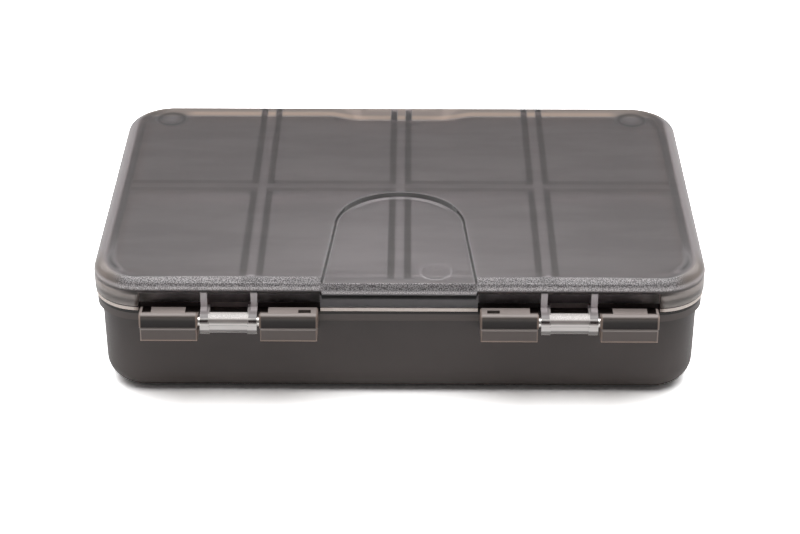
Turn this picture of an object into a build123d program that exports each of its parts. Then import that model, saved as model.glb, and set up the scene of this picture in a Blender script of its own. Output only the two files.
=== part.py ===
from build123d import *
import os

# Compartment tackle box with a smoky clear lid on two pinned hinges.
# X runs along the hinge line, Y from the hinge side to the opening side, Z up.
# The origin is the centre of the flat underside. All sizes are millimetres.

# Overall sizes of the closed box, without hinges
WIDTH = 105.0
DEPTH = 68.0
HEIGHT = 23.4
CORNER_R = 8.5          # corners of the lid seen from above

# Lid shell
LID_HEIGHT = 4.9        # top face down to the lower edge of the skirt
LID_TOP = 1.4           # thickness of the top panel
LID_WALL = 1.3          # skirt at the sides and the opening side
HINGE_WALL = 2.3        # thicker skirt on the hinge side, for the pockets
LID_EDGE_R = 1.9        # rounding all round the top
LID_INNER = 0.8         # slope where the skirt meets the panel, inside
RIB_WALL = 1.2          # closing ribs, one ring over each compartment
RIB_DEEP = 1.65
RIB_CORNER = 0.9        # bevel at the corners of a ring, clear of the compartment's rounding
RIB_SIDE_GAP = 0.2      # rib ring to the mouth of its compartment
RIB_FOOT_GAP = 0.15     # rib ring above the divider tops

# Arch-shaped recess in the top, open to the hinge side
ARCH_R = 11.4
ARCH_FOOT_HALF = 13.1
ARCH_CENTRE_IN = 20.2    # centre of the round head, from the hinge side
ARCH_DEEP = 0.5
ARCH_BEVEL = 0.25

# Seal under the skirt
SEAL_STRIP = 0.6        # the part that shows
SEAL_LIP = 0.5          # narrower lip that meets the flange
SEAL_LIP_WIDE = 0.6
SEAL_INSET = 0.1
REST_GAP = 0.05

# Base
BODY_INSET = 1.1        # body wall inside the lid's outline
FLANGE_INSET = 0.3
FLANGE_BAND = 1.75
DRAFT = 0.5             # degrees on the outside wall
FOOT_R = 4.5            # rounding round the underside
FLOOR = 1.6
LID_FIT = 0.3           # skirt to the upstand that it drops over
UPSTAND_WALL = 1.3
DIVIDER = 1.2
COLUMNS = 4
ROWS = 2
CELL_CORNER_R = 3.0

# Thumb bay in the opening side, where the latch hangs
BAY_DEEP = 3.5
BAY_FLOOR_HALF = 8.6
BAY_MOUTH_HALF = 12.6
BAY_ROUND = 2.5
BAY_FOOT = 4.0          # height at which the bay starts
BAY_SLOPE = 2.5         # its sloping sill

# Hinges
HINGE_SIDE = 23.7       # each hinge's centre from the side of the box
HINGE_OUT = 1.5         # pin axis outside the lid's outline
PIN_DROP = 2.0          # pin axis below the lower edge of the skirt
PIN_D = 1.8
PIN_SEAT_GAP = 0.01     # radial, pin in the blocks
PIN_RUN_GAP = 0.06      # radial, pin in the lid's barrel
PIN_SET_BACK = 0.6      # pin end inside the outer block
BLOCK_WIDE = 9.9
BLOCK_FRONT = 1.7       # block face in front of the axis, at the parting line
BLOCK_REAR = 0.2        # upper part of the block, clear of the lid's outline
BLOCK_TALL = 4.9
BLOCK_UPPER = 2.5       # top of the block down to its parting line
BLOCK_LEAN = 0.4        # upper face leans back by this at the top
BLOCK_STEP = 0.25       # lower half proud in front
BLOCK_END_STEP = 0.15   # and narrower at the ends
BLOCK_TOP_R = 0.8       # rounding where the front meets the top
BLOCK_EDGE = 0.25       # small bevel round the front of a block
BLOCK_END_WALL = 1.4    # closed end of the inner block's bore
BARREL_D = 3.1
EYE_D = 3.4
LUG_EDGE = 0.5          # rounding of the square lower front of eye and barrel
EYE_WIDE = 1.6
ARM_WIDE = 1.1
ARM_FOOT = 0.8          # thickness of the arm's foot
KNUCKLE_HALF = 4.8      # hinge centre to an eye's outer face
KNUCKLE_GAP = 0.4       # eye to block
NOTCH_SMALL = 1.5       # widths of the core-outs in the block tops
NOTCH_LARGE = 2.1
NOTCH_LONG = 1.8
NOTCH_END = 0.5         # rim at the outer end of a hinge
WINDOW_END = 1.2        # closed core-out, from the inner end of a hinge
WINDOW_LAND = 0.8       # rim left behind it
POCKET_DEEP = 1.5       # relief in the skirt behind the hinge
POCKET_TALL = 2.6
POCKET_SIDE = 0.35
HINGE_CLEAR = 0.25      # base kept clear of the turning eyes

# Latch in the bay
LATCH_WIDE = 12.8
LATCH_THICK = 1.4
LATCH_SIDE_GAP = 0.3
LUG_WIDE = 1.2
LATCH_KNUCKLE_R = 1.4
LATCH_AXIS_DROP = 1.7   # below the underside of the panel
LATCH_AXIS_IN = 1.6     # inside the lid's outline
LATCH_DROP = 8.6        # axis down to the tip
LATCH_PIN_D = 1.5
CATCH_WIDE = 10.0
CATCH_OUT = 2.0         # catch bar out of the bay wall
CATCH_TALL = 2.75
HOOK_TALL = 1.15
HOOK_GAP = 0.15
CATCH_GAP = 0.3
TAB_OUT = 0.7           # lower tip flared out for the finger

# Round pegs of the lid in sockets of the base, in the two far corners
PEG_SIDE = 8.2          # peg centre from the side of the box
PEG_EDGE = 6.4          # peg centre from the opening side
PEG_D = 3.2
PEG_DEEP = 3.4          # below the underside of the panel
COLLAR_D = 6.2          # collar round the foot of the peg
COLLAR_DEEP = 0.9
SOCKET_WALL = 1.3       # round the hole in the base
SOCKET_FIT = 0.3        # radial and below the peg

# Levels and places worked out from the sizes above
lid_foot = HEIGHT - LID_HEIGHT
lid_under = HEIGHT - LID_TOP
rib_foot = lid_under - RIB_DEEP
divider_top = rib_foot - RIB_FOOT_GAP
seal_foot = lid_foot - SEAL_STRIP
lip_foot = seal_foot - SEAL_LIP
flange_top = lip_foot - REST_GAP
flange_foot = flange_top - FLANGE_BAND
hinge_off = WIDTH / 2 - HINGE_SIDE
hinge_y = -DEPTH / 2 - HINGE_OUT
hinge_z = lid_foot - PIN_DROP
latch_y = DEPTH / 2 - LATCH_AXIS_IN
latch_z = lid_under - LATCH_AXIS_DROP
lug_reach = (EYE_D / 2 - LUG_EDGE) * 2 ** 0.5 + LUG_EDGE
peg_x = WIDTH / 2 - PEG_SIDE
peg_y = DEPTH / 2 - PEG_EDGE
arch_y = -DEPTH / 2 + ARCH_CENTRE_IN

side_fit = LID_WALL + LID_FIT
cell_side = side_fit + UPSTAND_WALL
cell_near = HINGE_WALL + LID_FIT + UPSTAND_WALL
cells_x = WIDTH / 2 - cell_side
cells_y0 = -DEPTH / 2 + cell_near
cells_y1 = DEPTH / 2 - cell_side


def plan(side, near, far):
    """Rounded outline that lies inside the lid's outline by three insets."""
    width = WIDTH - 2 * side
    depth = DEPTH - near - far
    radius = max(CORNER_R - side, 1.0)
    return Pos(0, (near - far) / 2) * RectangleRounded(width, depth, radius)


def bay(grow, out=10.0):
    """The bay seen from above, grown by an offset, running out past the wall."""
    y0 = DEPTH / 2 - BAY_DEEP
    y1 = DEPTH / 2
    line = FilletPolyline(
        (-BAY_MOUTH_HALF - out, y1 + out), (-BAY_MOUTH_HALF, y1), (-BAY_FLOOR_HALF, y0),
        (BAY_FLOOR_HALF, y0), (BAY_MOUTH_HALF, y1), (BAY_MOUTH_HALF + out, y1 + out),
        radius=[0, 0, BAY_ROUND, BAY_ROUND, 0, 0], close=True,
    )
    face = make_face(line)
    return offset(face, grow) if grow else face


def slab(face, z0, z1):
    """A flat face pushed from one height to another."""
    return extrude(Pos(0, 0, z0) * face, z1 - z0)


def block(x0, x1, y0, y1, z0, z1):
    """A plain block between two corners."""
    centre = Pos((x0 + x1) / 2, (y0 + y1) / 2, (z0 + z1) / 2)
    return centre * Box(x1 - x0, y1 - y0, z1 - z0)


def rod(diameter, x0, x1, y, z):
    """A round bar along X."""
    return Pos((x0 + x1) / 2, y, z) * Rot(0, 90, 0) * Cylinder(diameter / 2, x1 - x0)


def cell_places():
    """Column and row limits of every compartment."""
    pitch = (2 * cells_x + DIVIDER) / COLUMNS
    step = (cells_y1 - cells_y0 + DIVIDER) / ROWS
    for column in range(COLUMNS):
        x0 = -cells_x + column * pitch
        for row in range(ROWS):
            y0 = cells_y0 + row * step
            yield x0, x0 + pitch - DIVIDER, y0, y0 + step - DIVIDER


def cell(x0, x1, y0, y1):
    """One compartment's outline, kept clear of the bay."""
    face = RectangleRounded(x1 - x0, y1 - y0, CELL_CORNER_R)
    return Pos((x0 + x1) / 2, (y0 + y1) / 2) * face - bay(cell_side)


def base_shell():
    """Body, flange and upstand as one solid block, before it is hollowed."""
    body = plan(BODY_INSET, BODY_INSET, BODY_INSET)
    shell = extrude(Pos(0, 0, flange_foot) * body, flange_foot, dir=(0, 0, -1), taper=DRAFT)
    shell = fillet(shell.edges().group_by(Axis.Z)[0], FOOT_R)
    shell += slab(body, flange_foot, flange_top)
    shell += slab(plan(FLANGE_INSET, FLANGE_INSET, FLANGE_INSET), flange_foot, flange_top)
    upstand = plan(side_fit, HINGE_WALL + LID_FIT, side_fit)
    shell += slab(upstand, flange_top, divider_top)
    return shell


def bay_cuts():
    """The bay cut out of body, flange and upstand, with its sloping sill."""
    sill = Plane.YZ * make_face(Polyline(
        (DEPTH / 2 - BAY_DEEP - BODY_INSET, BAY_FOOT + BAY_SLOPE),
        (DEPTH / 2 + 1, BAY_FOOT - BAY_SLOPE / BAY_DEEP),
        (DEPTH / 2 + 1, HEIGHT), (DEPTH / 2 - BAY_DEEP - BODY_INSET, HEIGHT), close=True,
    ))
    above_sill = extrude(sill, WIDTH / 2, both=True)
    body = slab(bay(BODY_INSET), 0, flange_foot) & above_sill
    return body + slab(bay(FLANGE_INSET), flange_foot, flange_top) \
        + slab(bay(side_fit), flange_top, HEIGHT)


def hinge_block(x0, x1):
    """One block of the base that carries an end of the pin.

    Its front has a parting line: the upper half leans back and rounds into
    the top, the lower half stands a little proud and is a little narrower.
    """
    top = lid_foot
    part = top - BLOCK_UPPER
    foot = top - BLOCK_TALL
    front = hinge_y - BLOCK_FRONT
    inside = -DEPTH / 2 + BODY_INSET + 0.5
    rear = -DEPTH / 2 - BLOCK_REAR
    upper = make_face(Polyline(
        (inside, part), (front, part), (front + BLOCK_LEAN, top), (rear, top),
        (rear, flange_top), (inside, flange_top), close=True,
    ))
    crown = upper.vertices().sort_by_distance((front + BLOCK_LEAN, top, 0))[0]
    upper = fillet(crown, BLOCK_TOP_R)
    upper = Pos((x0 + x1) / 2, 0, 0) * extrude(Plane.YZ * upper, (x1 - x0) / 2, both=True)
    sides = upper.faces().sort_by(Axis.Y)[0].edges().filter_by(Axis.X, reverse=True)
    lower = block(x0 + BLOCK_END_STEP, x1 - BLOCK_END_STEP, front - BLOCK_STEP, inside, foot, part)
    lower_front = lower.faces().sort_by(Axis.Y)[0].edges()
    return chamfer(sides, BLOCK_EDGE) + chamfer(lower_front.sort_by(Axis.Z)[:-1], BLOCK_EDGE)


def notch(x0, x1, land=-0.1):
    """A core-out in a block's top, open to the rear unless it keeps a land there."""
    rear = -DEPTH / 2 - BLOCK_REAR
    return block(*sorted((x0, x1)), rear - NOTCH_LONG, rear - land, flange_top, HEIGHT)


def hinge_on_base(side):
    """The two blocks of one hinge, and the cuts they need, on side -1 or +1."""
    middle = side * hinge_off
    near = KNUCKLE_HALF + KNUCKLE_GAP
    far = near + BLOCK_WIDE
    outer = sorted((middle + side * near, middle + side * far))
    inner = sorted((middle - side * near, middle - side * far))
    blocks = hinge_block(*outer) + hinge_block(*inner)
    places = [
        (middle + side * (far - NOTCH_END), -side * NOTCH_SMALL),
        (middle + side * near, side * NOTCH_LARGE),
        (middle - side * near, -side * NOTCH_SMALL),
    ]
    for start, width in places:
        blocks -= notch(start, start + width)
    window = middle - side * (far - WINDOW_END)
    return blocks - notch(window, window + side * NOTCH_LARGE, land=WINDOW_LAND)


def hinge_cuts(side):
    """Pin bore and the room that the lid's knuckle turns in."""
    middle = side * hinge_off
    near = KNUCKLE_HALF + KNUCKLE_GAP
    far = near + BLOCK_WIDE
    bore = sorted((middle - side * (far - BLOCK_END_WALL), middle + side * (far + 1)))
    cuts = rod(PIN_D + 2 * PIN_SEAT_GAP, *bore, hinge_y, hinge_z)
    room = lug_reach + HINGE_CLEAR
    cuts += block(middle - near, middle + near, hinge_y - room, hinge_y + room,
                  hinge_z - room, flange_top + 0.01)
    return cuts


def socket_block(side):
    """Rounded block that fills a far corner, with the peg's blind hole."""
    radius = PEG_D / 2 + SOCKET_FIT + SOCKET_WALL
    x, wall = side * peg_x, side * (WIDTH / 2)
    foot = FLOOR - 0.2
    solid = slab(Pos(x, peg_y) * Circle(radius), foot, divider_top)
    solid += block(*sorted((x, wall)), peg_y - radius, DEPTH / 2, foot, divider_top)
    solid += block(*sorted((x - side * radius, wall)), peg_y, DEPTH / 2, foot, divider_top)
    solid &= slab(plan(cell_side - 0.2, cell_near, cell_side - 0.2), foot, divider_top)
    hole = slab(Pos(x, peg_y) * Circle(PEG_D / 2 + SOCKET_FIT),
                lid_under - PEG_DEEP - SOCKET_FIT, HEIGHT)
    return solid - hole


def catch_bar():
    """Bar across the bay that the latch hooks under, with a rounded nose."""
    wall = DEPTH / 2 - BAY_DEEP - BODY_INSET
    bar = block(-CATCH_WIDE / 2, CATCH_WIDE / 2, wall - 0.3, wall + CATCH_OUT,
                flange_top - CATCH_TALL, flange_top)
    nose = bar.faces().sort_by(Axis.Y)[-1].edges().filter_by(Axis.X)
    return fillet(nose, 0.4)


def base():
    """Base moulding: shell, compartments, bay, hinge blocks, catch, sockets."""
    solid = base_shell() - bay_cuts()
    solid += hinge_on_base(-1) + hinge_on_base(1)
    solid -= hinge_cuts(-1) + hinge_cuts(1)
    for place in cell_places():
        solid -= slab(cell(*place), FLOOR, HEIGHT)
    return solid + catch_bar() + socket_block(-1) + socket_block(1)


def lid_shell():
    """Rounded shell with its skirt, bay and hinge pockets."""
    shell = slab(plan(0, 0, 0), lid_foot, HEIGHT)
    shell = fillet(shell.edges().group_by(Axis.Z)[-1], LID_EDGE_R)
    inside = plan(LID_WALL, HINGE_WALL, LID_WALL) - bay(LID_WALL)
    cavity = slab(inside, lid_foot, lid_under)
    cavity = chamfer(cavity.edges().group_by(Axis.Z)[-1], LID_INNER)
    return shell - cavity - slab(bay(0), lid_foot, lid_under) - pockets(lid_foot)


def pockets(foot):
    """Relief in the hinge side of the skirt behind each pair of blocks."""
    half = KNUCKLE_HALF + KNUCKLE_GAP + BLOCK_WIDE + POCKET_SIDE
    y = -DEPTH / 2
    cuts = [
        block(middle - half, middle + half, y - 1, y + POCKET_DEEP, foot, lid_foot + POCKET_TALL)
        for middle in (-hinge_off, hinge_off)
    ]
    return cuts[0] + cuts[1]


def arch_recess():
    """Arch sunk in the top: round head, sides that spread to the hinge side."""
    head = (0, arch_y + ARCH_R)
    left = (-ARCH_R, arch_y)
    right = (ARCH_R, arch_y)
    foot = -DEPTH / 2 - 2
    line = ThreePointArc(left, head, right)
    line += Polyline(right, (ARCH_FOOT_HALF, foot), (-ARCH_FOOT_HALF, foot), left)
    cut = slab(make_face(line), HEIGHT - ARCH_DEEP, HEIGHT + 1)
    mouth = offset(make_face(line), ARCH_BEVEL)
    return cut + loft([Pos(0, 0, HEIGHT - ARCH_DEEP) * make_face(line), Pos(0, 0, HEIGHT) * mouth])


def rib_outline(x0, x1, y0, y1, inset):
    """A compartment's outline with bevelled corners, shrunk by an inset.

    In the corners of the box it follows the box's own rounding.
    """
    face = Rectangle(x1 - x0 - 2 * inset, y1 - y0 - 2 * inset)
    face = Pos((x0 + x1) / 2, (y0 + y1) / 2) * chamfer(face.vertices(), RIB_CORNER)
    corner = plan(cell_side + inset, cell_near + inset, cell_side + inset)
    return (face & corner) - bay(cell_side + inset)


def rib_ring(place):
    """Closing rib over one compartment."""
    outer = rib_outline(*place, RIB_SIDE_GAP)
    inner = rib_outline(*place, RIB_SIDE_GAP + RIB_WALL)
    return slab(outer - inner, rib_foot, lid_under + 0.2)


def lug(diameter, x0, x1):
    """Round bar on the hinge axis whose lower front is squared off."""
    corner = block(x0, x1, hinge_y - diameter / 2, hinge_y, hinge_z - diameter / 2, hinge_z)
    edge = corner.edges().filter_by(Axis.X).sort_by(Axis.Y)[:2].sort_by(Axis.Z)[0]
    return rod(diameter, x0, x1, hinge_y, hinge_z) + fillet(edge, LUG_EDGE)


def hinge_on_lid(middle):
    """Arms, eyes and barrel of one hinge.

    An arm is a narrow plate in the pocket, flush with the eye's outer face,
    and a wider foot that reaches out at the skirt's lower edge to the eye.
    """
    wall = -DEPTH / 2 + POCKET_DEEP
    face = -DEPTH / 2
    top = lid_foot + POCKET_TALL
    knuckle = lug(BARREL_D, middle - KNUCKLE_HALF + EYE_WIDE, middle + KNUCKLE_HALF - EYE_WIDE)
    plate = make_face(Polyline(
        (wall + 0.5, top + 0.3), (face, top), (face, lid_foot - ARM_FOOT / 2),
        (wall, lid_foot), (wall + 0.5, lid_foot), close=True,
    ))
    foot = make_face(Polyline(
        (face, lid_foot), (hinge_y, hinge_z + EYE_D / 2), (hinge_y, hinge_z),
        (hinge_y + EYE_D / 2, hinge_z + ARM_FOOT), (face + ARM_FOOT / 2, lid_foot - ARM_FOOT),
        (face + ARM_FOOT, lid_foot), close=True,
    ))
    for side in (-1, 1):
        end = middle + side * KNUCKLE_HALF
        x = end - side * ARM_WIDE / 2
        knuckle += Pos(x, 0, 0) * extrude(Plane.YZ * plate, ARM_WIDE / 2, both=True)
        x = end - side * EYE_WIDE / 2
        knuckle += Pos(x, 0, 0) * extrude(Plane.YZ * foot, EYE_WIDE / 2, both=True)
        knuckle += lug(EYE_D, *sorted((end, end - side * EYE_WIDE)))
    bore = rod(PIN_D + 2 * PIN_RUN_GAP, middle - KNUCKLE_HALF - 1, middle + KNUCKLE_HALF + 1,
               hinge_y, hinge_z)
    return knuckle - bore


def latch_lug(side):
    """Lug of the lid beside the latch, with its pin hole."""
    x0 = side * (LATCH_WIDE / 2 + LATCH_SIDE_GAP)
    x1 = x0 + side * LUG_WIDE
    x0, x1 = sorted((x0, x1))
    wall = DEPTH / 2 - BAY_DEEP
    lug = block(x0, x1, wall - 0.3, latch_y, latch_z - LATCH_KNUCKLE_R, lid_under + 0.2)
    lug += block(x0, x1, latch_y - 0.1, latch_y + LATCH_KNUCKLE_R, latch_z, lid_under + 0.2)
    lug += rod(2 * LATCH_KNUCKLE_R, x0, x1, latch_y, latch_z)
    return lug - rod(LATCH_PIN_D + 2 * PIN_SEAT_GAP, x0 - 1, x1 + 1, latch_y, latch_z)


def lid():
    """Smoky clear lid moulding."""
    solid = lid_shell() - arch_recess()
    for place in cell_places():
        solid += rib_ring(place)
    for x in (-peg_x, peg_x):
        solid += slab(Pos(x, peg_y) * Circle(PEG_D / 2), lid_under - PEG_DEEP, lid_under + 0.2)
        solid += slab(Pos(x, peg_y) * Circle(COLLAR_D / 2), lid_under - COLLAR_DEEP, lid_under + 0.2)
    for middle in (-hinge_off, hinge_off):
        solid += hinge_on_lid(middle)
    return solid + latch_lug(-1) + latch_lug(1)


def lid_seal():
    """Soft strip under the skirt, with a lip that meets the flange."""
    inside = plan(LID_WALL, HINGE_WALL, LID_WALL) - bay(LID_WALL)
    outside = plan(SEAL_INSET, SEAL_INSET, SEAL_INSET) - bay(SEAL_INSET)
    strip = slab(outside - inside, seal_foot, lid_foot)
    lip_side = LID_WALL - SEAL_LIP_WIDE
    lip = plan(lip_side, HINGE_WALL - SEAL_LIP_WIDE, lip_side) - bay(lip_side)
    strip += slab(lip - inside, lip_foot, seal_foot)
    clear = pockets(0)
    return strip - (clear + Pos(0, SEAL_INSET, 0) * clear)


def hinge_pin(side):
    """Steel pin from the outer block to the closed end of the inner one."""
    middle = side * hinge_off
    far = KNUCKLE_HALF + KNUCKLE_GAP + BLOCK_WIDE
    ends = sorted((middle - side * (far - BLOCK_END_WALL), middle + side * (far - PIN_SET_BACK)))
    pin = rod(PIN_D, *ends, hinge_y, hinge_z)
    return chamfer(pin.edges().filter_by(GeomType.CIRCLE), 0.2)


def latch():
    """Flip latch: knuckle, plate, hook under the catch and finger tip."""
    inner = DEPTH / 2 - BAY_DEEP - BODY_INSET + CATCH_OUT + CATCH_GAP
    outer = inner + LATCH_THICK
    tip = latch_z - LATCH_DROP
    hook_top = flange_top - CATCH_TALL - HOOK_GAP
    hook_in = inner - CATCH_GAP - CATCH_OUT + 0.7
    side = make_face(Polyline(
        (latch_y, latch_z), (inner, latch_z - 1), (inner, hook_top), (hook_in, hook_top),
        (hook_in, hook_top - HOOK_TALL / 2), (inner, hook_top - HOOK_TALL - 0.4),
        (inner, tip + 2), (inner + TAB_OUT, tip), (outer + TAB_OUT, tip), (outer, tip + 2.4),
        (outer, latch_z - 0.6), close=True,
    ))
    plate = extrude(Plane.YZ * side, LATCH_WIDE / 2, both=True)
    plate += rod(2 * LATCH_KNUCKLE_R, -LATCH_WIDE / 2, LATCH_WIDE / 2, latch_y, latch_z)
    plate -= rod(LATCH_PIN_D + 2 * PIN_RUN_GAP, -WIDTH, WIDTH, latch_y, latch_z)
    side_room = (LATCH_WIDE - CATCH_WIDE) / 2
    for x in (-LATCH_WIDE / 2, LATCH_WIDE / 2 - side_room):
        plate -= block(x, x + side_room, hook_in - 1, inner, 0, flange_top)
    return plate


def latch_pin():
    """Steel pin of the latch, flush with the lugs."""
    half = LATCH_WIDE / 2 + LATCH_SIDE_GAP + LUG_WIDE
    pin = rod(LATCH_PIN_D, -half, half, latch_y, latch_z)
    return chamfer(pin.edges().filter_by(GeomType.CIRCLE), 0.15)


os.makedirs("parts", exist_ok=True)
nodes = {
    "base": base(),
    "lid": lid(),
    "lid_seal": lid_seal(),
    "hinge_pin_left": hinge_pin(-1),
    "hinge_pin_right": hinge_pin(1),
    "latch": latch(),
    "latch_pin": latch_pin(),
}
for name, shape in nodes.items():
    export_step(shape, f"parts/{name}.step")
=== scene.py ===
import math
from types import SimpleNamespace

import bmesh
import bpy
import numpy as np
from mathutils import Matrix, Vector


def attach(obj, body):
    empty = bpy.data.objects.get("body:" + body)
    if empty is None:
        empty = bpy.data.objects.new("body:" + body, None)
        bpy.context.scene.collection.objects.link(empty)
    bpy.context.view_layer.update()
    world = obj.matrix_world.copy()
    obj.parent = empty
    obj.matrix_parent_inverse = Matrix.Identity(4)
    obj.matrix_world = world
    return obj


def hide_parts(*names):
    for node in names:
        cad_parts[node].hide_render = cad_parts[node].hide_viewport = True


# Looks of the compartment tackle box. X runs along the hinge line, Y from the
# hinge side to the opening side, Z up. Sizes named *_MM are millimetres. A pair
# holds the two limits between which a finish comes in, goes out or lies.
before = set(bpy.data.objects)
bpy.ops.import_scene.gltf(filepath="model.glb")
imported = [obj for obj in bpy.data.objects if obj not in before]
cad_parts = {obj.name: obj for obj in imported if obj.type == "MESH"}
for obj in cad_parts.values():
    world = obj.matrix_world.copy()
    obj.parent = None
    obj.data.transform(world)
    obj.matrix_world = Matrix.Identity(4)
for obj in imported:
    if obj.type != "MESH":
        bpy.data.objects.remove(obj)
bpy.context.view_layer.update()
MM = 0.001

# Camera of the photograph: pinhole, level, no shift
LENS = 96.75
SENSOR = 36.0
CAMERA_MM = (2.34, -345.31, 207.34)
CAMERA_DOWN = math.radians(30.171)
CAMERA_TURN = math.radians(0.4004)

# Sizes of the part that the finish follows, repeated from its source
WIDTH_MM = 105.0
DEPTH_MM = 68.0
CORNER_R_MM = 8.5
RIB_X_MM = (-25.1, 0.0, 25.1)
RIB_Y_MM = 0.5
RIB_BAND_MM = (0.8, 2.0)
RIM_RIB_MM = (2.1, 3.4)
RIM_RIB_X_MM = (WIDTH_MM / 2 - 8, WIDTH_MM / 2 - 4)
ARCH_R_MM = 11.4
ARCH_FOOT_MM = 13.1
ARCH_Y_MM = -13.8
ARCH_STEP_MM = 0.75
PEG_MM = (44.3, 27.6)
HINGE_SIDE_MM = 28.8
BLOCK_ENDS_MM = (5.2, 15.1)
BLOCK_FOOT_MM = 13.6
PARTING_MM = 16.06
SEAL_FOOT_MM = 17.9
SEAL_FOOT_BAND_MM = 0.03
SEAL_SAG_MM = 0.3

# Limits for joining a CAD node's triangles
MERGE_M = 1e-6
FLAT_ANGLE = math.radians(0.4)
SHARP_ANGLE = math.radians(28)

# Heights and tilts on the lid
TOP_Z_MM = (22.6, 22.8)
RIM_Z_MM = (21.4, 21.9)
RIM_WIDTH_MM = (1.8, 1.9)
RIM_SOFT_MM = (0.2, 0.5)
RIM_TILT = (0.975, 0.998)
RIM_FOOT_Z_MM = (21.0, 21.6)
SKIRT_Z_MM = (21.1, 21.4)
UNDER_RIM_Z_MM = (20.0, 20.9)
GROOVE_Z_MM = (20.1, 20.9)
MIDDLE_SKIRT_Z_MM = (19.1, 19.9)
WELL_TOP_Z_MM = (21.0, 21.2)
ARM_FOOT_Z_MM = (18.2, 18.35)

# Heights and tilts on the hinge knuckles
LUG_TILT = (0.55, 0.85)
LUG_TOP_Z_MM = (18.12, 18.22)
EYE_TOP_Z_MM = (17.72, 17.85)
LUG_LINE_Z_MM = (17.15, 17.55)
LUG_THIN_Z_MM = (16.5, 16.6)
LUG_LOW_Z_MM = (15.75, 16.95)

# Places on the lid, from the hinge side (Y) and from the middle (X)
LUG_Y_MM = (-34.2, -34.05)
FRONT_FACE_Y_MM = (-34.1, -34.0)
ARM_Y_MM = (-32.7, -32.5)
WELL_Y_MM = (-33.75, -30.5)
NEAR_Y_MM = (-31.5, -30.7)
FLARE_Y_MM = -31.2
SIDE_X_MM = (45.5, 49.5)
NEAR_X_MM = (46.0, 49.0)
CORNER_X_MM = (38.0, 46.0)
BEFORE_CORNER_X_MM = (43.0, 49.0)
BLOB_X_MM = (46.0, 48.5)
BLOB_Y_MM = (-29.0, -18.0)
BLOB_INSIDE_MM = (2.3, 3.6)
OUTER_INSIDE_MM = (0.7, 1.1)
COLUMN_INSIDE_MM = (0.9, 1.3)
ROW_INSIDE_MM = (2.0, 2.3)

# Places across a hinge, from its middle
EYE_ASIDE_MM = (3.35, 3.45)
ARM_ASIDE_MM = (3.65, 4.85)
WELL_ASIDE_MM = (11.5, 14.8)
WELL_END_MM = (15.2, 15.4)

# The wall of the far side seen through the lid, with a painted backlight glow, and its paler
# painted line
FAR_BAND_MM = 5.0
FAR_BAND_BAY_MM = 1.6
FAR_BAY_X_MM = (7.5, 14.0)
FAR_EDGE_MM = (-0.8, 0.7)
FAR_LINE_MM = (0.3, 1.9)
FAR_LINE_X_MM = (39.5, 42.5)

# Small marks: the arch's painted shade line and highlight, the pegs' painted shade rings, the
# mould ring, the ribs' painted light flares and the painted sheen near the front
ARCH_LINE_MM = (0.42, 0.25)
ARCH_LINE_SOFT_MM = (-0.14, 0.14)
ARCH_SHIFT_MM = (0.05, -0.05)
ARCH_WALL_MM = (-0.1, 0.1)
ARCH_OUTSIDE_MM = (-0.75, -0.2)
ARCH_UNDER_MM = (0.65, 1.15)
ARCH_SIDE_MM = (4.0, 9.0)
PEG_CORE_MM = (0.6, 1.6)
PEG_RING_MM = (2.0, 2.9)
MOULD_RING_MM = (6.2, -29.6, 2.7)
FLARE_SLOPE = 0.9
# Painted sheen: the panel grows less clear, so paler, towards the middle of the near side
HAZE_MM = (34.0, 30.0)
HAZE_Y_MM = -32.0

# Grains
GRAIN_MM = 0.22
GLITTER_MM = 0.19
WAVE_MM = 9.0
STREAK_MM = 6.0

# How rough and how clear the lid is, by place; where it is less clear its tint shows, which at
# many places is painted light and shade
LID_ROUGH = 0.277
RIM_ROUGH = 0.30
LUG_ROUGH_SHARE = 0.25
PANEL_CLEAR = 0.968
# Clearness of the panel's painted sheen
HAZE_CLEAR = 0.905
RIB_CLEAR = 0.985
SKIRT_CLEAR = 0.92
# Painted light: the skirt is less clear where it turns round the corners
SKIRT_CORNER_CLEAR = 0.6
RIM_CLEAR = 0.58
# The rim's foot is made nearly opaque so that its painted highlight shows
RIM_FOOT_CLEAR = 0.25
# The far band is made less clear to show its painted backlight
FAR_CLEAR = 0.6
LUG_CLEAR = 0.72
# Painted highlight on the knuckles' tops and painted reflection in their lower band: both nearly
# opaque
LUG_TOP_CLEAR = 0.12
LUG_LOW_CLEAR = 0.08
# The knuckles' painted dark reflection line stays partly clear
LUG_LINE_CLEAR = 0.6
# Painted glow on the hinge arms and the eyes' tops: nearly opaque
ARM_CLEAR = 0.15
# Painted highlight of the arch, and the pegs' paler cores
PALE_CLEAR = 0.72
RING_CLEAR = 0.68
# Painted light flares at the ribs' ends
FLARE_CLEAR = 0.7
# Painted glow across the middle of the skirt
MIDDLE_SKIRT_CLEAR = 0.86
# Painted shadow line under the rim
UNDER_RIM_CLEAR = 0.92
# The arch's painted shade line is nearly opaque
ARCH_LINE_CLEAR = 0.05
RIM_RIB_CLEAR = 0.93
BLOB_CLEAR = 0.6
# Painted shade round the pegs
PEG_RING_CLEAR = 0.8
# Painted shade in the hinge wells: dark and half clear
WELL_CLEAR = 0.5

# Colours of the lid, by place; many of them are painted light and shade
PANEL_TINT = ((0.70, 0.64, 0.67, 1), (0.82, 0.76, 0.79, 1))
RIM_GRAIN_TINT = ((0.20, 0.18, 0.19, 1), (0.84, 0.80, 0.815, 1))
RIM_PLAIN_TINT = ((0.42, 0.37, 0.34, 1), (0.50, 0.46, 0.47, 1))
RIM_PLAIN_Y_MM = (-28.0, -22.0)
# Painted highlight along the rim's foot: grainy on the near side, plain elsewhere
FOOT_GRAIN_TINT = ((0.52, 0.48, 0.49, 1), (0.94, 0.90, 0.90, 1))
FOOT_PLAIN_TINT = (0.62, 0.57, 0.57, 1)
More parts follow.
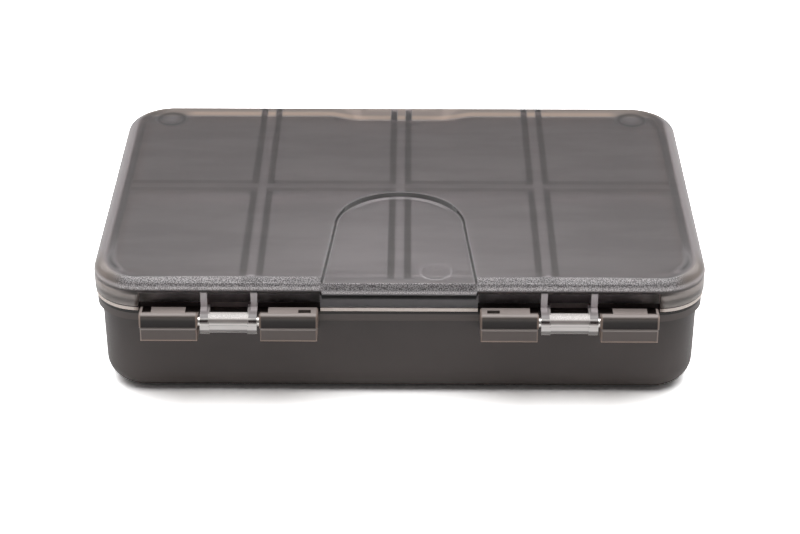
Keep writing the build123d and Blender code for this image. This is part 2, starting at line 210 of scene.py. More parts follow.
# Painted light on the skirt where it turns round the corners
SKIRT_CORNER_TINT = (0.86, 0.77, 0.72, 1)
# Painted backlight: the far band glows tan, with a paler painted line in it
FAR_TINT = (0.38, 0.31, 0.28, 1)
FAR_LINE_TINT = (0.64, 0.49, 0.40, 1)
# Near-white tint of the hinge knuckles: partly their clearer plastic, partly painted sheen
LUG_TINT = (1.0, 0.95, 0.925, 1)
# Painted dark reflection lines across the knuckles
LUG_LINE_TINT = (0.05, 0.04, 0.04, 1)
# Darker grain in the knuckles' painted highlight
LUG_SPARK_TINT = (0.30, 0.26, 0.25, 1)
# Painted glow: the clear hinge arms and the eyes' tops made pale grey
EYE_TOP_TINT = (0.36, 0.33, 0.33, 1)
ARM_TINT = (0.66, 0.60, 0.61, 1)
# Near black for painted shade, for the ribs' darker tint and for darker patches near the side
# corners
DEEP_TINT = (0.02, 0.017, 0.017, 1)
SMOKE_TINT = (0.42, 0.30, 0.26, 1)
SMOKE_DENSITY = 280.0

# Heights, tilts and places on the base
BLOCK_Y_MM = (-34.5, -33.6)
WALL_Z_MM = (2.0, 15.0)
FLANGE_LINE_Z_MM = (15.3, 15.5)
FLANGE_Z_MM = (15.5, 15.6)
GAP_Z_MM = (16.85, 16.95)
CROWN_Z_MM = (17.2, 18.4)
BLOCK_HIGH_Z_MM = (15.9, 16.0)
BLOCK_TILT = (0.45, 0.85)
BLOCK_ASIDE_MM = (4.9, 5.2)

# Colours of the base, by place; besides its own tones they are painted reflection, highlight,
# glow and shade
BASE_TINT = ((0.062, 0.049, 0.046, 1), (0.078, 0.063, 0.060, 1))
# Painted reflection of the floor: the wall paler towards its foot
WALL_FOOT_TINT = (0.108, 0.089, 0.083, 1)
FLANGE_TINT = (0.10, 0.08, 0.074, 1)
# Painted highlight along the flange's lower edge
FLANGE_LINE_TINT = (0.17, 0.14, 0.13, 1)
# Painted shadow in the gap between the flange and the lid
GAP_TINT = (0.012, 0.008, 0.007, 1)
# Painted light and shade on the hinge blocks: shaded upper fronts, lit lower fronts, crowns and
# tops, a highlight along the parting ledge
BLOCK_TINT = (0.018, 0.013, 0.012, 1)
BLOCK_LOWER_TINT = (0.135, 0.108, 0.098, 1)
BLOCK_CROWN_TINT = (0.13, 0.11, 0.10, 1)
# Painted glow on the hinge blocks' ends and foot
BLOCK_EDGE_TINT = (0.62, 0.45, 0.37, 1)
BLOCK_LEDGE_TINT = (0.27, 0.235, 0.22, 1)
BLOCK_TOP_TINT = (0.37, 0.32, 0.30, 1)

# Colours of the seal, the pins and the latch; the seal's dark ones are painted shade
SEAL_TINT = ((0.92, 0.80, 0.73, 1), (0.99, 0.88, 0.81, 1))
# Painted shade on the seal under the lid and in the pockets, lighter between the hinge arms
SEAL_HIDDEN_TINT = (0.055, 0.042, 0.040, 1)
SEAL_BETWEEN_TINT = (0.24, 0.20, 0.20, 1)
STEEL_TINT = ((0.78, 0.74, 0.70, 1), (0.92, 0.89, 0.86, 1))
LATCH_TINT = ((0.045, 0.035, 0.031, 1), (0.060, 0.047, 0.042, 1))

# Places on the seal
SEAL_OUTER_MM = (0.3, 0.6)
SEAL_TOP_Z_MM = (18.2, 18.3)
SEAL_POCKET_ASIDE_MM = (14.7, 15.0)
SEAL_POCKET_Y_MM = (-31.2, -30.8)
SEAL_BETWEEN_MM = (3.4, 3.8)

# Light of the surroundings: on dull surfaces, then where they are mirrored
DULL_FRONT = 0.05
DULL_BACK = 0.4
DULL_TURN = (-0.4, 0.4)
SKY_LOW = 1.0
SKY_HIGH = 0.26
SKY_TURN = (0.20, 0.40)
FRONT_TURN = (-0.7, -0.2)
FRONT_RISE = (0.25, 0.55)
FRONT_LEVEL = 0.15
FLOOR_TONE = 0.8
FLOOR_SEEN = 2.6
FLOOR_HALF_M = 3.0
LAMP_AIM_MM = (0, 0, 10)


class Maker:
    """Short ways to add and join shader nodes in one tree."""

    def __init__(self, tree):
        tree.nodes.clear()
        self.nodes, self.links = tree.nodes, tree.links

    def add(self, kind, **values):
        """A node with its plain settings and unlinked sockets set."""
        node = self.nodes.new(kind)
        for key, value in values.items():
            if hasattr(node, key):
                setattr(node, key, value)
            else:
                node.inputs[key.replace("_", " ")].default_value = value
        return node

    def plug(self, value, socket):
        """A number or colour goes on the socket, an output is linked to it."""
        if isinstance(value, (int, float, tuple)):
            socket.default_value = value
        else:
            self.links.new(value, socket)

    def math(self, operation, a, b=0.0, c=0.0, clamp=False):
        node = self.nodes.new("ShaderNodeMath")
        node.operation = operation
        node.use_clamp = clamp
        for value, socket in zip((a, b, c), node.inputs):
            self.plug(value, socket)
        return node.outputs[0]

    def times(self, first, *others):
        """Product of all the values."""
        for other in others:
            first = self.math("MULTIPLY", first, other)
        return first

    def most(self, first, *others):
        """The largest of all the values."""
        for other in others:
            first = self.math("MAXIMUM", first, other)
        return first

    def level(self, mask, bare, full):
        """A number that is bare where the mask is nought and full where it is one."""
        return self.math("MULTIPLY_ADD", mask, full - bare, bare)

    def apart(self, value, middle_mm):
        """Distance of a value from a middle."""
        return self.math("ABSOLUTE", self.math("SUBTRACT", value, middle_mm * MM))

    def length(self, a, b):
        """Length of the side opposite a right angle, from the two others."""
        square = self.math("MULTIPLY", b, b)
        return self.math("SQRT", self.math("MULTIPLY_ADD", a, a, square))

    def ramp(self, value, low, high, to_low=0.0, to_high=1.0):
        """Smooth step of a value between two limits."""
        node = self.nodes.new("ShaderNodeMapRange")
        node.interpolation_type = "SMOOTHSTEP"
        for number, socket in zip((value, low, high, to_low, to_high), node.inputs):
            self.plug(number, socket)
        return node.outputs[0]

    def past(self, value, limits_mm, full=1.0):
        """Nought before two limits in millimetres, full after them."""
        return self.ramp(value, limits_mm[0] * MM, limits_mm[1] * MM, 0.0, full)

    def before(self, value, limits_mm, full=1.0, rest=0.0):
        """Full before two limits in millimetres, the rest after them."""
        return self.ramp(value, limits_mm[0] * MM, limits_mm[1] * MM, full, rest)

    def band(self, value, limits_mm, soft_mm):
        """One between two limits in millimetres, falling to nought over a soft edge."""
        low, high = limits_mm
        rise = self.past(value, (low - soft_mm, low + soft_mm))
        fall = self.before(value, (high - soft_mm, high + soft_mm))
        return self.times(rise, fall)

    def mix(self, factor, a, b):
        node = self.nodes.new("ShaderNodeMix")
        node.data_type = "RGBA"
        self.plug(factor, node.inputs[0])
        self.plug(a, node.inputs[6])
        self.plug(b, node.inputs[7])
        return node.outputs[2]

    def axes(self, source):
        """X, Y and Z of a vector output."""
        node = self.nodes.new("ShaderNodeSeparateXYZ")
        self.links.new(source, node.inputs[0])
        return node.outputs


class Skin(Maker):
    """A new material whose patterns read the place on the piece."""

    def __init__(self, name):
        self.material = bpy.data.materials.new(name)
        self.material.use_nodes = True
        super().__init__(self.material.node_tree)
        self.output = self.nodes.new("ShaderNodeOutputMaterial")
        self.place = self.nodes.new("ShaderNodeTexCoord").outputs

    def locate(self):
        """Each point's X, Y and Z in metres, its distance from the middle, and its tilt.

        The tilt is one where the face looks straight up.
        """
        self.x, self.y, self.z = self.axes(self.place["Object"])
        self.up = self.axes(self.place["Normal"])[2]
        self.from_middle = self.math("ABSOLUTE", self.x)

    def aside(self):
        """Distance along X from the middle of the nearer hinge."""
        return self.apart(self.from_middle, HINGE_SIDE_MM)

    def depth_inside(self):
        """How far a point lies inside the lid's outline, up to the corner radius.

        It is the radius less the distance past the corner's two centre lines.
        """
        from_row = self.math("ABSOLUTE", self.y)
        over_x = self.math("SUBTRACT", self.from_middle, (WIDTH_MM / 2 - CORNER_R_MM) * MM)
        over_y = self.math("SUBTRACT", from_row, (DEPTH_MM / 2 - CORNER_R_MM) * MM)
        out = self.length(self.most(over_y, 0.0), self.most(over_x, 0.0))
        return self.math("SUBTRACT", CORNER_R_MM * MM, out)

    def noise(self, size_mm, detail=2.0, rough=0.5, stretch=(1, 1, 1)):
        """Noise whose grains are about size_mm across."""
        mapping = self.nodes.new("ShaderNodeMapping")
        mapping.inputs["Scale"].default_value = stretch
        self.links.new(self.place["Object"], mapping.inputs["Vector"])
        node = self.nodes.new("ShaderNodeTexNoise")
        node.inputs["Scale"].default_value = 1.0 / (size_mm * MM)
        node.inputs["Detail"].default_value = detail
        node.inputs["Roughness"].default_value = rough
        self.links.new(mapping.outputs[0], node.inputs["Vector"])
        return node.outputs["Fac"]

    def bump(self, height, distance_mm, strength=1.0, under=None):
        node = self.nodes.new("ShaderNodeBump")
        node.inputs["Distance"].default_value = distance_mm * MM
        node.inputs["Strength"].default_value = strength
        self.links.new(height, node.inputs["Height"])
        if under is not None:
            self.links.new(under, node.inputs["Normal"])
        return node.outputs[0]

    def paint(self, tint, coats):
        """Colours laid one over the other, each where its mask is one."""
        for mask, colour in coats:
            tint = self.mix(mask, tint, colour)
        return tint

    def finish(self, shader, volume=None):
        self.links.new(shader.outputs[0], self.output.inputs["Surface"])
        if volume is not None:
            self.links.new(volume.outputs[0], self.output.inputs["Volume"])
        return self.material


def mark_ribs(lid, at):
    """Closing ribs seen through the panel, two beside each divider.

    The pairs stop where they cross. Columns are kept alone too, and so is the
    rib under the rim at the two sides.
    """
    low, high = RIB_BAND_MM
    start = (low - 0.1, low + 0.1)
    across = lid.apart(lid.y, RIB_Y_MM)
    off_row = lid.past(across, start)
    total = lid.band(across, RIB_BAND_MM, 0.22)
    columns = 0.0
    for middle in RIB_X_MM:
        away = lid.apart(lid.x, middle)
        off_column = lid.past(away, start)
        column = lid.band(away, RIB_BAND_MM, 0.22)
        columns = lid.most(columns, column)
        total = lid.most(lid.times(total, off_column), lid.times(column, off_row))
    at.ribs = lid.times(total, lid.past(at.inside, ROW_INSIDE_MM))
    at.columns = lid.times(columns, lid.past(at.inside, COLUMN_INSIDE_MM))
    sides = lid.past(lid.from_middle, RIM_RIB_X_MM)
    at.rim_rib = lid.times(lid.band(at.inside, RIM_RIB_MM, 0.3), sides, 0.5)


def mark_far_wall(lid, at):
    """The far wall seen through the lid with a painted backlight glow over it, wider in the
    middle round the latch bay.
    """
    middle = lid.before(lid.from_middle, FAR_BAY_X_MM)
    start = (DEPTH_MM / 2 - FAR_BAND_MM) * MM
    edge = lid.level(middle, start, start - FAR_BAND_BAY_MM * MM)
    beyond = lid.math("SUBTRACT", lid.y, edge)
    no_column = lid.math("SUBTRACT", 1.0, at.columns)
    at.far = lid.times(lid.past(beyond, FAR_EDGE_MM), no_column)
    line = lid.times(lid.band(beyond, FAR_LINE_MM, 0.6), at.far)
    at.far_line = lid.times(line, lid.before(lid.from_middle, FAR_LINE_X_MM))


def mark_arch(lid, at):
    """The arch recess: a painted shade line along its wall, and a painted highlight beside it.

    Depth inside the arch is its half width, less the distance from the middle
    of a half circle over two slanted sides.
    """
    rise = lid.math("SUBTRACT", lid.y, ARCH_Y_MM * MM)
    slant = (ARCH_FOOT_MM - ARCH_R_MM) / (DEPTH_MM / 2 + ARCH_Y_MM)
    half = lid.math("MULTIPLY_ADD", lid.math("MINIMUM", rise, 0.0), -slant, ARCH_R_MM * MM)
    depth = lid.math("SUBTRACT", half, lid.length(lid.most(rise, 0.0), lid.x))
    at.raised = lid.before(depth, ARCH_WALL_MM, ARCH_STEP_MM * MM)
    at_side = lid.before(lid.y, (ARCH_Y_MM + ARCH_SIDE_MM[0], ARCH_Y_MM + ARCH_SIDE_MM[1]))
    shift = lid.level(at_side, ARCH_SHIFT_MM[0] * MM, ARCH_SHIFT_MM[1] * MM)
    off_line = lid.math("ABSOLUTE", lid.math("ADD", depth, shift))
    half_width = lid.level(at_side, ARCH_LINE_MM[0] * MM, ARCH_LINE_MM[1] * MM)
    off_line = lid.math("SUBTRACT", off_line, half_width)
    # Painted shade: a dark line along the arch's wall
    at.arch_dark = lid.times(lid.before(off_line, ARCH_LINE_SOFT_MM), at.on_top)
    outside = lid.times(lid.band(depth, ARCH_OUTSIDE_MM, 0.12), at_side, 0.15)
    at_top = lid.math("SUBTRACT", 1.0, at_side)
    under = lid.times(lid.band(depth, ARCH_UNDER_MM, 0.15), at_top)
    # Painted highlight beside the arch's line: outside it on the sides, inside it at the top
    at.arch_pale = lid.times(lid.most(outside, under), at.on_top)


def mark_rim(lid, at):
    """The rounded rim, a painted highlight along its foot, the skirt under it with a soft painted
    shadow line and painted light at its corners and middle, and painted glow on the hinge arms.
    """
    at_side = lid.past(lid.from_middle, SIDE_X_MM)
    wide = lid.level(at_side, RIM_WIDTH_MM[0] * MM, RIM_WIDTH_MM[1] * MM)
    soft = lid.level(at_side, RIM_SOFT_MM[0] * MM, RIM_SOFT_MM[1] * MM)
    edge = lid.math("SUBTRACT", at.inside, wide)
    rim = lid.ramp(edge, lid.times(soft, -1.0), soft, 1.0, 0.0)
    turned = lid.ramp(lid.up, *RIM_TILT, 1.0, 0.0)
    at.rim = lid.times(rim, lid.past(lid.z, RIM_Z_MM), lid.most(at_side, turned))
    at.near = lid.times(lid.before(lid.y, NEAR_Y_MM), lid.before(lid.from_middle, NEAR_X_MM))
    at.skirt = lid.before(lid.z, SKIRT_Z_MM)
    at.corner = lid.past(lid.from_middle, CORNER_X_MM)
    # Painted glow on the clear hinge arms
    arm = lid.times(lid.band(at.aside, ARM_ASIDE_MM, 0.05), at.skirt)
    at.arm = lid.times(arm, lid.before(lid.y, ARM_Y_MM), lid.past(lid.z, ARM_FOOT_Z_MM))
    outer = lid.math("SUBTRACT", lid.before(at.inside, OUTER_INSIDE_MM), at.arm, clamp=True)
    below = lid.math("SUBTRACT", lid.z, at.raised)
    # Painted highlight: a pale band along the rim's foot
    at.rim_foot = lid.times(lid.band(below, RIM_FOOT_Z_MM, 0.25), outer)
    no_corner = lid.times(outer, lid.before(lid.from_middle, BEFORE_CORNER_X_MM))
    # Painted shadow: a soft dark line on the skirt just under the rim
    at.under_rim = lid.times(lid.band(below, UNDER_RIM_Z_MM, 0.2), no_corner)
    at.groove = lid.times(lid.before(below, GROOVE_Z_MM), no_corner)
    # Painted glow: a paler band across the middle of the skirt
    middle_skirt = lid.times(lid.band(lid.z, MIDDLE_SKIRT_Z_MM, 0.5), outer)
    at.middle_skirt = lid.times(middle_skirt, lid.past(lid.y, FRONT_FACE_Y_MM))


def mark_hinges(lid, at):
    """The knuckles' painted highlights on their tops and a pale band of painted reflection low
    down, their painted dark reflection lines, the eyes' tops painted grey like the arms' painted
    glow, and painted shade in the wells behind them.
    """
    at.lug = lid.before(lid.y, LUG_Y_MM)
    facing_up = lid.ramp(lid.up, *LUG_TILT)
    # Painted highlight on the knuckles' upward faces
    at.lug_top = lid.times(at.lug, facing_up, lid.before(lid.z, LUG_TOP_Z_MM))
    eye = lid.past(at.aside, EYE_ASIDE_MM)
    # Painted dark reflection: a dark line across the knuckles, fainter between the eyes, and a
    # thin one lower down, fainter on the eyes
    line = lid.times(at.lug, lid.band(lid.z, LUG_LINE_Z_MM, 0.08))
    at.lug_line = lid.times(line, lid.level(eye, 0.5, 1.0))
    # The eyes' tops painted grey like the arms' painted glow
    at.eye_top = lid.times(at.lug, eye, lid.past(lid.z, EYE_TOP_Z_MM))
    thin = lid.times(at.lug, lid.band(lid.z, LUG_THIN_Z_MM, 0.06))
    at.lug_thin = lid.times(thin, lid.level(eye, 0.4, 0.1))
    # Painted reflection: a pale band low on the knuckles
    at.lug_low = lid.times(at.lug, lid.band(lid.z, LUG_LOW_Z_MM, 0.12))
    # Painted shade in the wells behind the hinge blocks
    well = lid.times(lid.past(at.aside, WELL_ASIDE_MM), lid.band(lid.y, WELL_Y_MM, 0.1))
    well = lid.times(well, lid.before(at.aside, WELL_END_MM, 0.7))
    at.well = lid.times(well, lid.before(lid.z, WELL_TOP_Z_MM))


def mark_small_things(lid, at):
    """Painted shade rings round the pegs with paler cores, the mould ring, painted light flares
    at the ribs' ends, darker patches near the side corners and a painted sheen near the front.
    """
    peg_x = lid.math("SUBTRACT", lid.from_middle, PEG_MM[0] * MM)
    peg_y = lid.math("SUBTRACT", lid.y, PEG_MM[1] * MM)
    peg = lid.length(peg_x, peg_y)
    # Painted shade ring round each peg seen through the lid, with a paler core
    at.peg_core = lid.times(lid.before(peg, PEG_CORE_MM, 0.35), at.on_top)
    at.peg_ring = lid.times(lid.band(peg, PEG_RING_MM, 0.8), at.on_top)
    ring_x = lid.math("SUBTRACT", lid.x, MOULD_RING_MM[0] * MM)
    ring_y = lid.math("SUBTRACT", lid.y, MOULD_RING_MM[1] * MM)
    line = (MOULD_RING_MM[2] - 0.15, MOULD_RING_MM[2] + 0.15)
    ring = lid.band(lid.length(ring_x, ring_y), line, 0.08)
    at.mould_ring = lid.times(ring, lid.before(ring_y, (-2.8, 2.8), 1.0, 0.35))
    # Painted light: flares spreading towards the near side from the outer ribs' ends
    beyond = lid.math("SUBTRACT", FLARE_Y_MM * MM, lid.y)
    spread = lid.math("MULTIPLY_ADD", beyond, FLARE_SLOPE, 0.1 * MM)
    flare = 0.0
    for middle in RIB_X_MM[::2]:
        off_cone = lid.math("SUBTRACT", lid.apart(lid.x, middle), spread)
        flare = lid.most(flare, lid.before(off_cone, (-0.3, 0.1)))
    at.flare = lid.times(flare, lid.past(beyond, (0.0, 0.5)), at.on_top)
    blob = lid.times(lid.band(at.inside, BLOB_INSIDE_MM, 0.8), lid.before(lid.y, BLOB_Y_MM))
    at.blob = lid.times(blob, lid.past(lid.from_middle, BLOB_X_MM))
    # Painted sheen: less clear, so paler, towards the middle of the near side
    haze_x = lid.times(lid.x, 1 / (HAZE_MM[0] * MM))
    haze_y = lid.math("MULTIPLY_ADD", lid.y, 1 / (HAZE_MM[1] * MM), -HAZE_Y_MM / HAZE_MM[1])
    square = lid.math("MULTIPLY_ADD", haze_x, haze_x, lid.times(haze_y, haze_y))
    at.haze = lid.math("POWER", math.e, lid.times(square, -1.0))


def lid_tint(lid, at, glitter):
    """The lid's colours, from the panel outwards, with painted light at many places and the
    painted shade and the ribs' darker tint last.
    """
    streak = lid.noise(STREAK_MM, 3.0, 0.6, (0.25, 1.0, 1.0))
    panel = lid.mix(lid.ramp(streak, 0.35, 0.65), *PANEL_TINT)
    spark = lid.ramp(glitter, 0.38, 0.62)
    plain = lid.mix(lid.past(lid.y, RIM_PLAIN_Y_MM), *RIM_PLAIN_TINT)
    rim = lid.mix(at.near, plain, lid.mix(spark, *RIM_GRAIN_TINT))
    rim_foot = lid.mix(at.near, FOOT_PLAIN_TINT, lid.mix(spark, *FOOT_GRAIN_TINT))
    # Darker grain breaking up the knuckles' painted highlight
    sparkle = lid.times(at.lug_top, lid.ramp(glitter, 0.45, 0.6, 0.25, 0.0))
    # Painted shade under the rim, in the hinge wells, round the pegs, along the arch and as a
    # thin line on the knuckles, with the ribs' own darker tint and darker patches near the side
    # corners
    deep = lid.most(
        at.rim_rib, at.arch_dark, at.blob, at.under_rim, at.well, at.peg_ring, at.lug_thin,
        lid.times(at.ribs, 0.2),
    )
    return lid.paint(panel, (
        (at.rim, rim),
        # Painted light on the skirt's corners
        (lid.times(at.skirt, at.corner), SKIRT_CORNER_TINT),
        (at.rim_foot, rim_foot),
        # Painted backlight on the far band
        (at.far, FAR_TINT),
        (at.far_line, FAR_LINE_TINT),
        # Painted sheen over the knuckles' clearer plastic
        (at.lug, LUG_TINT),
        (at.lug_line, LUG_LINE_TINT),
        (sparkle, LUG_SPARK_TINT),
        (at.eye_top, EYE_TOP_TINT),
        (at.arm, ARM_TINT),
        (deep, DEEP_TINT),
    ))


def lid_clear(lid, at):
    """How much light the lid lets through, by place; where it lets less, its tint shows: pale for
    painted light, dark for painted shade.
    """
    clear = lid.level(at.haze, PANEL_CLEAR, HAZE_CLEAR)
    for mask, amount in (
        (at.ribs, RIB_CLEAR),
        (at.skirt, lid.level(at.corner, SKIRT_CLEAR, SKIRT_CORNER_CLEAR)),
        (at.rim, RIM_CLEAR),
        (at.rim_foot, RIM_FOOT_CLEAR),
        (at.far, FAR_CLEAR),
        (at.lug, LUG_CLEAR),
        (at.lug_top, LUG_TOP_CLEAR),
        (at.lug_low, LUG_LOW_CLEAR),
        (at.lug_line, LUG_LINE_CLEAR),
        (at.arm, ARM_CLEAR),
        (lid.most(at.arch_pale, at.peg_core), PALE_CLEAR),
        (at.mould_ring, RING_CLEAR),
        (at.flare, FLARE_CLEAR),
        (at.middle_skirt, MIDDLE_SKIRT_CLEAR),
        (at.under_rim, UNDER_RIM_CLEAR),
        (at.arch_dark, ARCH_LINE_CLEAR),
        (at.rim_rib, RIM_RIB_CLEAR),
        (at.blob, BLOB_CLEAR),
        (at.peg_ring, PEG_RING_CLEAR),
        (at.well, WELL_CLEAR),
        (at.eye_top, ARM_CLEAR),
    ):
        step = lid.math("SUBTRACT", amount, clear)
        clear = lid.math("MULTIPLY_ADD", mask, step, clear)
    return clear


def lid_bumps(lid, at):
    """Faint waves of the panel, grain of the near rim and a groove under it."""
    bump = lid.bump(lid.noise(WAVE_MM), 0.02, 0.5)
    grainy = lid.times(lid.most(at.rim, at.rim_foot), at.near)
    grain = lid.noise(GRAIN_MM, 1.0, 0.6)
    bump = lid.bump(lid.times(grain, grainy), 0.03, 0.9, bump)
    return lid.bump(at.groove, 0.2, 1.0, bump)


def lid_plastic():
    """Smoky clear plastic: frosted grain on the rounded rim, clear hinge lugs, and painted light
    and shade by place.
    """
    lid = Skin("smoky_lid")
    lid.locate()
    at = SimpleNamespace(inside=lid.depth_inside(), aside=lid.aside())
    at.on_top = lid.past(lid.z, TOP_Z_MM)
    mark_ribs(lid, at)
    mark_far_wall(lid, at)
    mark_arch(lid, at)
    mark_rim(lid, at)
    mark_hinges(lid, at)
    mark_small_things(lid, at)
    glitter = lid.noise(GLITTER_MM, 0.0, 0.5)
    shader = lid.add("ShaderNodeBsdfPrincipled", IOR=1.5)
    lid.links.new(lid_tint(lid, at, glitter), shader.inputs["Base Color"])
    lid.links.new(lid_clear(lid, at), shader.inputs["Transmission Weight"])
    rough = lid.level(at.rim, LID_ROUGH, RIM_ROUGH)
    rough = lid.times(rough, lid.level(at.lug, 1.0, LUG_ROUGH_SHARE))
    lid.links.new(rough, shader.inputs["Roughness"])
    lid.links.new(lid_bumps(lid, at), shader.inputs["Normal"])
    volume = lid.add("ShaderNodeVolumeAbsorption", Color=SMOKE_TINT, Density=SMOKE_DENSITY)
    return lid.finish(shader, volume)


def block_edges(base, aside, lower, proud):
    """Painted glow on the hinge blocks' rounded ends and foot, where they catch the light."""
    face = (BLOCK_ENDS_MM[0] + 0.3, BLOCK_ENDS_MM[1] - 0.3)
    ends = base.math("SUBTRACT", 1.0, base.band(aside, face, 0.15))
    foot = base.before(base.z, (BLOCK_FOOT_MM + 0.05, BLOCK_FOOT_MM + 0.5))
    return base.most(base.times(foot, lower), base.times(ends, 0.45, proud))


def base_plastic():
    """Dark smoky brown plastic, satin outside, with painted light and shade on the wall's foot,
    the flange's edge, the gap under the lid and the hinge blocks.
    """
    base = Skin("dark_base")
    base.locate()
    z = base.z
    aside = base.aside()
    grain = base.noise(0.35, 2.0, 0.55)
    cloud = base.noise(14.0)
    tint = base.mix(base.ramp(cloud, 0.3, 0.7), *BASE_TINT)
    proud = base.before(base.y, BLOCK_Y_MM)
    lower = base.times(proud, base.before(z, (PARTING_MM - 0.15, PARTING_MM)))
    flange = base.math("SUBTRACT", base.past(z, FLANGE_Z_MM), proud, clamp=True)
    # Painted highlight: a thin pale line along the flange's lower edge
    flange_line = base.band(z, FLANGE_LINE_Z_MM, 0.06)
    flange_line = base.math("SUBTRACT", flange_line, proud, clamp=True)
    # Painted shadow on the base above the flange, in the gap under the lid
    gap = base.math("SUBTRACT", base.past(z, GAP_Z_MM), proud, clamp=True)
    ledge = base.band(z, (PARTING_MM - 0.2, PARTING_MM + 0.1), 0.06)
    high = base.times(base.past(z, BLOCK_HIGH_Z_MM), base.past(aside, BLOCK_ASIDE_MM))
    facing_up = base.ramp(base.up, *BLOCK_TILT)
    tint = base.paint(tint, (
        # Painted reflection of the floor on the wall's foot
        (base.before(z, WALL_Z_MM), WALL_FOOT_TINT),
        (flange, FLANGE_TINT),
        (flange_line, FLANGE_LINE_TINT),
        (gap, GAP_TINT),
        # Painted shade and light on the hinge blocks
        (proud, BLOCK_TINT),
        (lower, BLOCK_LOWER_TINT),
        (base.times(proud, base.past(z, CROWN_Z_MM)), BLOCK_CROWN_TINT),
        (block_edges(base, aside, lower, proud), BLOCK_EDGE_TINT),
        (base.times(ledge, proud), BLOCK_LEDGE_TINT),
        (base.times(facing_up, high, proud), BLOCK_TOP_TINT),
    ))
    shader = base.add("ShaderNodeBsdfPrincipled", IOR=1.5)
    base.links.new(tint, shader.inputs["Base Color"])
    base.links.new(base.ramp(grain, 0.2, 0.8, 0.3, 0.42), shader.inputs["Roughness"])
    base.links.new(base.bump(grain, 0.01, 0.6), shader.inputs["Normal"])
    return base.finish(shader)


def seal_rubber():
    """Pale soft seal, with painted shade where the lid and the pockets cover it, lighter grey
    between the hinge arms.
    """
    seal = Skin("pale_seal")
    seal.locate()
    aside = seal.aside()
    grain = seal.noise(0.6)
    pocket = seal.before(aside, SEAL_POCKET_ASIDE_MM)
    pocket = seal.times(pocket, seal.before(seal.y, SEAL_POCKET_Y_MM))
    behind = seal.past(seal.depth_inside(), SEAL_OUTER_MM)
    # Painted shade where the lid and the pockets cover the seal
    hidden = seal.most(behind, seal.past(seal.z, SEAL_TOP_Z_MM), pocket)
    between = seal.times(seal.before(aside, SEAL_BETWEEN_MM), pocket)
    tint = seal.mix(seal.ramp(grain, 0.3, 0.7), *SEAL_TINT)
    tint = seal.paint(tint, ((hidden, SEAL_HIDDEN_TINT), (between, SEAL_BETWEEN_TINT)))
    shader = seal.add("ShaderNodeBsdfPrincipled", Roughness=0.55, IOR=1.45)
    seal.links.new(tint, shader.inputs["Base Color"])
    seal.links.new(seal.bump(grain, 0.02, 0.5), shader.inputs["Normal"])
    return seal.finish(shader)


def pin_steel():
    """Bright drawn steel with fine lines round the pin."""
    pin = Skin("pin_steel")
    lines = pin.noise(0.25, 2.0, 0.6, (6.0, 1.0, 1.0))
    shader = pin.add("ShaderNodeBsdfPrincipled", Metallic=1.0)
    pin.links.new(pin.mix(lines, *STEEL_TINT), shader.inputs["Base Color"])
    pin.links.new(pin.ramp(lines, 0.2, 0.8, 0.14, 0.28), shader.inputs["Roughness"])
    return pin.finish(shader)


def latch_plastic():
    """Dark smoky plastic of the latch, smoother than the base."""
    latch = Skin("latch_plastic")
    grain = latch.noise(0.4)
    shader = latch.add("ShaderNodeBsdfPrincipled", IOR=1.5)
    tint = latch.mix(latch.ramp(grain, 0.3, 0.7), *LATCH_TINT)
    latch.links.new(tint, shader.inputs["Base Color"])
    latch.links.new(latch.ramp(grain, 0.2, 0.8, 0.26, 0.36), shader.inputs["Roughness"])
    latch.links.new(latch.bump(grain, 0.008, 0.5), shader.inputs["Normal"])
    return latch.finish(shader)


def moulded(node, name, body, material):
    """A copy of a CAD node with its loose triangles joined into smooth faces.

    Points closer than a micron are merged, triangles of one plane become one
    face, and edges sharper than SHARP_ANGLE stay sharp.
    """
    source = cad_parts[node]
    mesh = bpy.data.meshes.new(name)
    work = bmesh.new()
    work.from_mesh(source.data)
    bmesh.ops.remove_doubles(work, verts=work.verts, dist=MERGE_M)
    bmesh.ops.dissolve_limit(
        work, angle_limit=FLAT_ANGLE, verts=work.verts, edges=work.edges,
    )
    work.to_mesh(mesh)
    work.free()
    piece = bpy.data.objects.new(name, mesh)
    bpy.context.scene.collection.objects.link(piece)
    mesh.materials.clear()
    mesh.materials.append(material)
    mesh.polygons.foreach_set("material_index", np.zeros(len(mesh.polygons), np.int32))
    mesh.shade_smooth()
    mesh.set_sharp_from_angle(angle=SHARP_ANGLE)
    weighted = piece.modifiers.new("shading", "WEIGHTED_NORMAL")
    weighted.keep_sharp = True
    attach(piece, body)
    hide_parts(node)
    return piece


def sag_seal(piece):
    """The seal bulges a little below its moulded foot, nearly down to the flange."""
    mesh = piece.data
    points = np.empty(len(mesh.vertices) * 3)
    mesh.vertices.foreach_get("co", points)
    points = points.reshape(-1, 3)
    foot = np.abs(points[:, 2] - SEAL_FOOT_MM * MM) < SEAL_FOOT_BAND_MM * MM
    points[foot, 2] -= SEAL_SAG_MM * MM
    mesh.vertices.foreach_set("co", points.ravel())
    mesh.update()


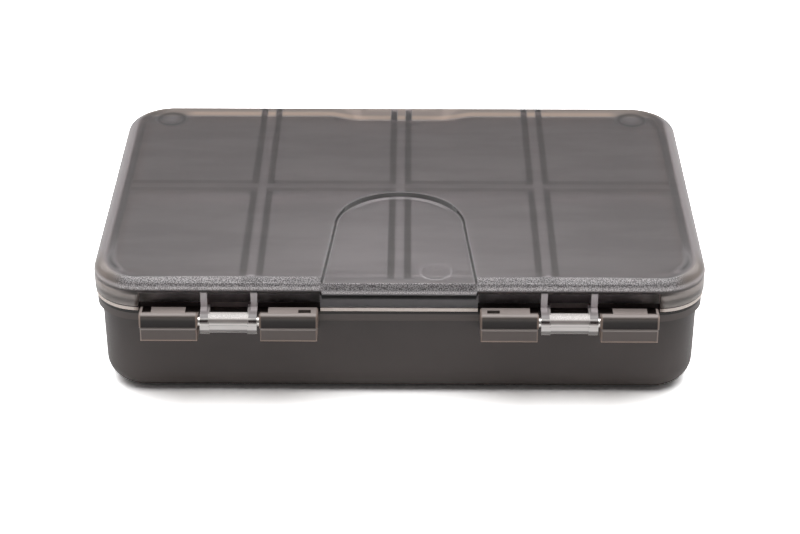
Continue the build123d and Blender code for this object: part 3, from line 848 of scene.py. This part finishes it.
def world_light():
    """Pale surroundings: even for dull surfaces, shaped where they are mirrored.

    In reflections the sky is white low down and greyer above, and dark low
    down in front, where the room behind the camera would be.
    """
    world = bpy.data.worlds.new("studio")
    world.use_nodes = True
    bpy.context.scene.world = world
    sky = Maker(world.node_tree)
    path = sky.nodes.new("ShaderNodeLightPath").outputs
    _, y, z = sky.axes(sky.nodes.new("ShaderNodeTexCoord").outputs["Generated"])
    front = sky.ramp(y, *FRONT_TURN, 1.0, 0.0)
    low = sky.ramp(z, *FRONT_RISE, 1.0, 0.0)
    room = sky.level(sky.times(front, low), 1.0, FRONT_LEVEL)
    mirrored = sky.times(sky.ramp(z, *SKY_TURN, SKY_LOW, SKY_HIGH), room)
    mirror = sky.most(path["Is Glossy Ray"], path["Is Transmission Ray"])
    dull = sky.ramp(y, *DULL_TURN, DULL_FRONT, DULL_BACK)
    step = sky.math("SUBTRACT", mirrored, dull)
    light = sky.math("MULTIPLY_ADD", mirror, step, dull)
    back = sky.add("ShaderNodeBackground", Color=(1, 1, 1, 1))
    sky.plug(sky.most(light, path["Is Camera Ray"]), back.inputs["Strength"])
    out = sky.nodes.new("ShaderNodeOutputWorld")
    sky.links.new(back.outputs[0], out.inputs["Surface"])


def pale_floor():
    """Plain pale floor that keeps the object's shadow and looks white to the eye."""
    half = FLOOR_HALF_M
    corners = [(-half, -half, 0), (half, -half, 0), (half, half, 0), (-half, half, 0)]
    mesh = bpy.data.meshes.new("floor")
    mesh.from_pydata(corners, [], [(0, 1, 2, 3)])
    floor = bpy.data.objects.new("floor", mesh)
    bpy.context.scene.collection.objects.link(floor)
    paper = Skin("pale_floor")
    plain = paper.add("ShaderNodeBsdfDiffuse", Color=(FLOOR_TONE,) * 3 + (1,))
    seen_white = paper.add("ShaderNodeBsdfDiffuse", Color=(FLOOR_SEEN,) * 3 + (1,))
    path = paper.nodes.new("ShaderNodeLightPath")
    both = paper.nodes.new("ShaderNodeMixShader")
    paper.links.new(path.outputs["Is Camera Ray"], both.inputs[0])
    paper.links.new(plain.outputs[0], both.inputs[1])
    paper.links.new(seen_white.outputs[0], both.inputs[2])
    mesh.materials.append(paper.finish(both))


def lamp(name, place_mm, size_mm, power):
    """A soft rectangular lamp that looks at the middle of the box, power in watts."""
    light = bpy.data.lights.new(name, "AREA")
    light.shape = "RECTANGLE"
    light.size = size_mm[0] * MM
    light.size_y = size_mm[1] * MM
    light.energy = power
    lamp_object = bpy.data.objects.new(name, light)
    place = Vector(place_mm) * MM
    aim = Vector(LAMP_AIM_MM) * MM
    lamp_object.location = place
    lamp_object.rotation_euler = (aim - place).to_track_quat("-Z", "Y").to_euler()
    bpy.context.scene.collection.objects.link(lamp_object)


def camera():
    """The photograph's camera, worked out from its place and two angles."""
    data = bpy.data.cameras.new("camera")
    data.lens = LENS
    data.sensor_width = SENSOR
    data.sensor_fit = "HORIZONTAL"
    data.clip_start = 0.01
    data.clip_end = 10.0
    view = bpy.data.objects.new("camera", data)
    view.location = Vector(CAMERA_MM) * MM
    view.rotation_euler = (math.pi / 2 - CAMERA_DOWN, 0, CAMERA_TURN)
    bpy.context.scene.collection.objects.link(view)
    bpy.context.scene.camera = view


camera()
world_light()
pale_floor()
lamp("back_box", place_mm=(0, 416, 462), size_mm=(1500, 300), power=3.2)
lamp("top_box", place_mm=(0, -40, 900), size_mm=(1000, 900), power=8.0)

lid_skin = lid_plastic()
base_skin = base_plastic()
seal_skin = seal_rubber()
steel = pin_steel()
latch_skin = latch_plastic()

moulded("base", "base_moulding", "base", base_skin)
moulded("lid", "lid_moulding", "lid", lid_skin)
sag_seal(moulded("lid_seal", "seal_strip", "lid", seal_skin))
moulded("latch", "latch_plate", "latch", latch_skin)
for pin, rider in (("hinge_pin_left", "base"), ("hinge_pin_right", "base"), ("latch_pin", "lid")):
    moulded(pin, pin + "_bright", rider, steel)

scene = bpy.context.scene
scene.view_settings.view_transform = "Standard"
